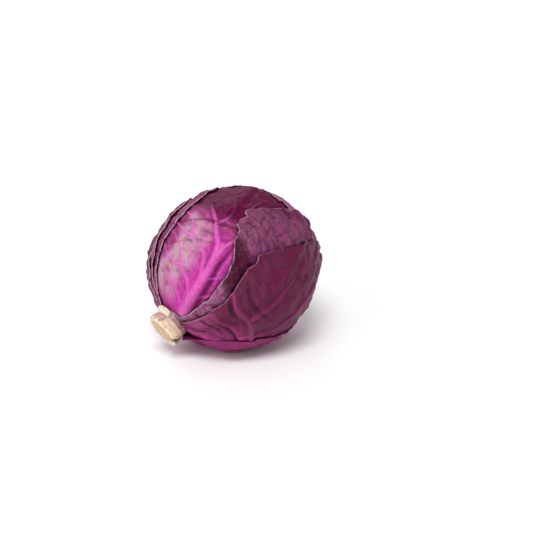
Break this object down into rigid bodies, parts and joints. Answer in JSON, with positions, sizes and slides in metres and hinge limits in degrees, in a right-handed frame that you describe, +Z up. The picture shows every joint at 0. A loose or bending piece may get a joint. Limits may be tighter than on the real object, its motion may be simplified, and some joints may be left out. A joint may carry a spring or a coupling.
{
  "type": "cabbage head",
  "caption": "Red cabbage head lying on its side, with overlapping waxy outer leaves and the stub of its cut stalk.",
  "frame": {"origin": "on the small flat spot that the head rests on, under the head's centre", "axes": "+Z up; the stalk end is at -X, with the stalk pointing 29 degrees below level in the XZ plane"},
  "size_m": [0.1716, 0.1602, 0.1474],
  "materials": {
    "stalk": "matte",
    "cut_leaf_base": "matte",
    "inner_leaf": "satin",
    "front_leaf": "satin",
    "outer_leaf": "satin"
  },
  "bodies": {
    "root": {"stalk": "stalk", "heart": "inner_leaf", "inner_leaf_1": "inner_leaf", "inner_leaf_2": "inner_leaf", "inner_leaf_3": "inner_leaf", "front_leaf": "front_leaf", "left_leaf_3": "outer_leaf", "crown_leaf": "outer_leaf", "left_leaf_2": "outer_leaf", "back_leaf": "outer_leaf", "right_leaf": "outer_leaf", "left_leaf_1": "outer_leaf", "side_leaf": "outer_leaf", "bottom_leaf": "outer_leaf", "cut_leaf_base_top": "cut_leaf_base", "cut_leaf_base_side": "cut_leaf_base", "cut_leaf_base_under": "cut_leaf_base"}
  },
  "joints": []
}
